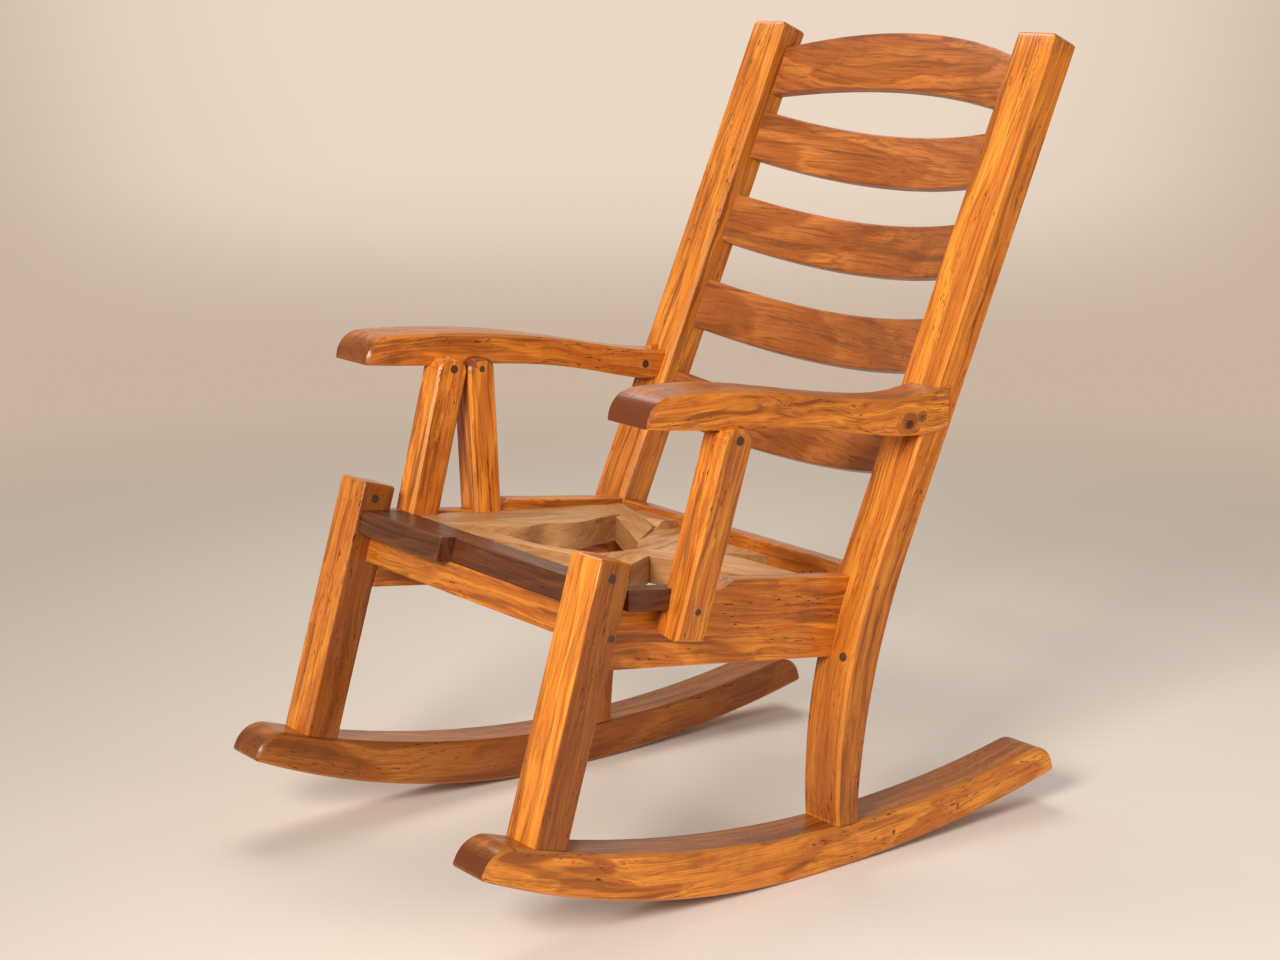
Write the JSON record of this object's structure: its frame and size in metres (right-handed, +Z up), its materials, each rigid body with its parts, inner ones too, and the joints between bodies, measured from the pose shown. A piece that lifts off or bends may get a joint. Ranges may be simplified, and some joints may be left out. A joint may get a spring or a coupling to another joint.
{
  "type": "hickory rocking chair",
  "caption": "Rustic ladder-back rocking chair of thick pegged hardwood, with a raked back of bowed slats, flat arms, long curved rockers and an open seat frame with pale braces.",
  "frame": {"origin": "middle of the chair's outline as seen from above, on the floor", "axes": "+Z up; the sitter faces -Y, so the rockers run along Y and the back leans towards +Y; +X is the sitter's left"},
  "size_m": [0.72, 1.0293, 1.136],
  "materials": {
    "orange_hardwood": "gloss varnish",
    "red_brown_hardwood": "gloss varnish",
    "dark_walnut": "satin varnish",
    "pale_wood": "matte",
    "peg_wood": "matte"
  },
  "bodies": {
    "root": {"left_front_leg": "orange_hardwood", "right_front_leg": "orange_hardwood", "left_rear_post": "orange_hardwood", "right_rear_post": "orange_hardwood", "left_side_rail": "orange_hardwood", "right_side_rail": "orange_hardwood", "front_apron": "orange_hardwood", "back_rail": "orange_hardwood", "left_arm": "orange_hardwood", "right_arm": "orange_hardwood", "left_arm_post": "orange_hardwood", "right_front_arm_post": "orange_hardwood", "right_rear_arm_post": "orange_hardwood", "left_rocker": "red_brown_hardwood", "right_rocker": "red_brown_hardwood", "crest_rail": "red_brown_hardwood", "back_slat_2": "red_brown_hardwood", "back_slat_3": "red_brown_hardwood", "back_slat_4": "red_brown_hardwood", "back_slat_5": "red_brown_hardwood", "front_board": "dark_walnut", "front_corner_block": "dark_walnut", "left_arm_bearer": "dark_walnut", "board_tongue": "dark_walnut", "seat_brace_front": "pale_wood", "seat_brace_left_side": "pale_wood", "seat_brace_front_left": "pale_wood", "seat_brace_rear_right": "pale_wood", "seat_brace_back": "pale_wood", "seat_brace_right_side": "pale_wood", "rear_corner_block": "pale_wood", "brace_keys": "pale_wood", "leg_pins": "peg_wood", "apron_pegs": "peg_wood", "arm_post_pegs": "peg_wood", "arm_tail_pegs": "peg_wood", "post_plugs": "peg_wood"}
  },
  "joints": []
}
